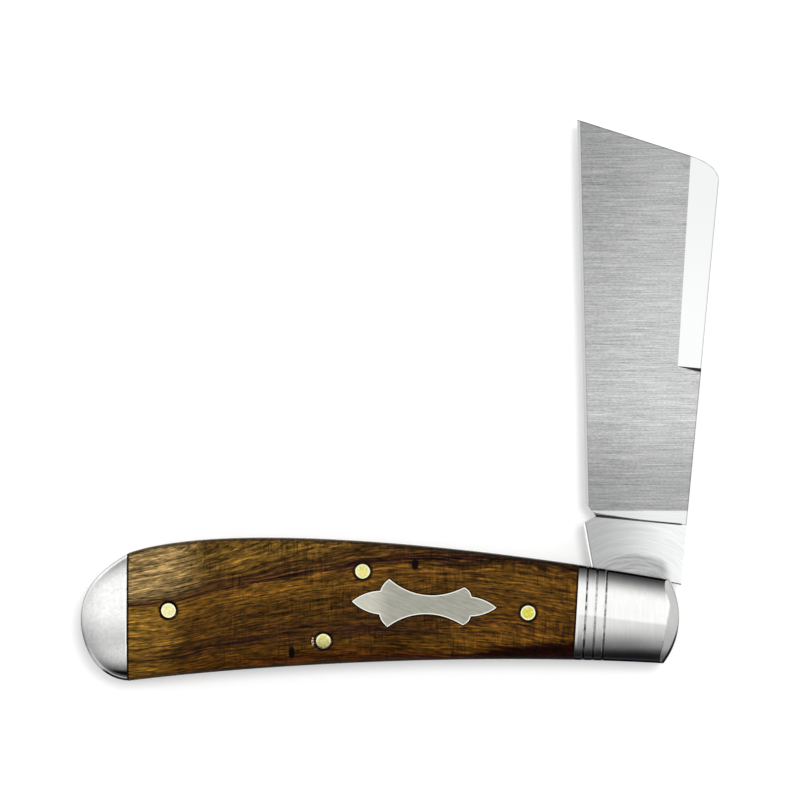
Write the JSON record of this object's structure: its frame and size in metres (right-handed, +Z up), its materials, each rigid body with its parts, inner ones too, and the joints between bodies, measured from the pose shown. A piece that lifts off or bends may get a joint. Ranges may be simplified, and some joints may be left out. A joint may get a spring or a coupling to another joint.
{
  "type": "folding pocket knife",
  "caption": "Slip-joint folding pocket knife with one broad straight-edged blade, half open, in a swelled handle with wood covers, metal bolsters and a backspring.",
  "frame": {"origin": "on the blade pivot's axis, in the plane of the pile-side flat that the knife lies on", "axes": "+X from the butt to the nose of the handle, +Y along the blade at its half stop, +Z up towards the mark side, which carries the shield"},
  "size_m": [0.1051, 0.0925, 0.012],
  "materials": {
    "blade_steel": "satin, brushed across the blade, with a polished swedge and tang",
    "spring_steel": "polished back, fine lengthwise lines",
    "liner_brass": "satin, a little tarnished",
    "cover_wood": "oiled and sanded, dark purple-brown streaks in golden brown",
    "bolster_nickel_silver": "polished, fine grooves",
    "shield_nickel_silver": "satin with a bright rim",
    "pin_brass": "bright, flush",
    "rivet_nickel_silver": "polished flush"
  },
  "bodies": {
    "handle": {"backspring": "spring_steel", "cover_mark": "cover_wood", "cover_pile": "cover_wood", "cover_pin_front_mark": "pin_brass", "cover_pin_front_pile": "pin_brass", "cover_pin_upper_mark": "pin_brass", "cover_pin_upper_pile": "pin_brass", "front_bolster_mark": "bolster_nickel_silver", "front_bolster_pile": "bolster_nickel_silver", "front_bolster_rivet_lower_mark": "rivet_nickel_silver", "front_bolster_rivet_lower_pile": "rivet_nickel_silver", "front_bolster_rivet_upper_mark": "rivet_nickel_silver", "front_bolster_rivet_upper_pile": "rivet_nickel_silver", "liner_mark": "liner_brass", "liner_pile": "liner_brass", "pivot_pin": "rivet_nickel_silver", "rear_bolster_mark": "bolster_nickel_silver", "rear_bolster_pile": "bolster_nickel_silver", "rear_bolster_rivet_lower_mark": "rivet_nickel_silver", "rear_bolster_rivet_lower_pile": "rivet_nickel_silver", "rear_bolster_rivet_upper_mark": "rivet_nickel_silver", "rear_bolster_rivet_upper_pile": "rivet_nickel_silver", "shield": "shield_nickel_silver", "shield_rivet_front": "rivet_nickel_silver", "shield_rivet_rear": "rivet_nickel_silver", "spring_center_pin": "pin_brass", "spring_rear_pin": "pin_brass"},
    "blade": {"blade": "blade_steel"}
  },
  "joints": [
    {"name": "blade_pivot", "type": "hinge", "parent": "handle", "child": "blade", "pos_m": [0, 0, 0.006], "axis": [0, 0, 1], "range_deg": [-87, 79], "deforming": ["backspring"]}
  ]
}
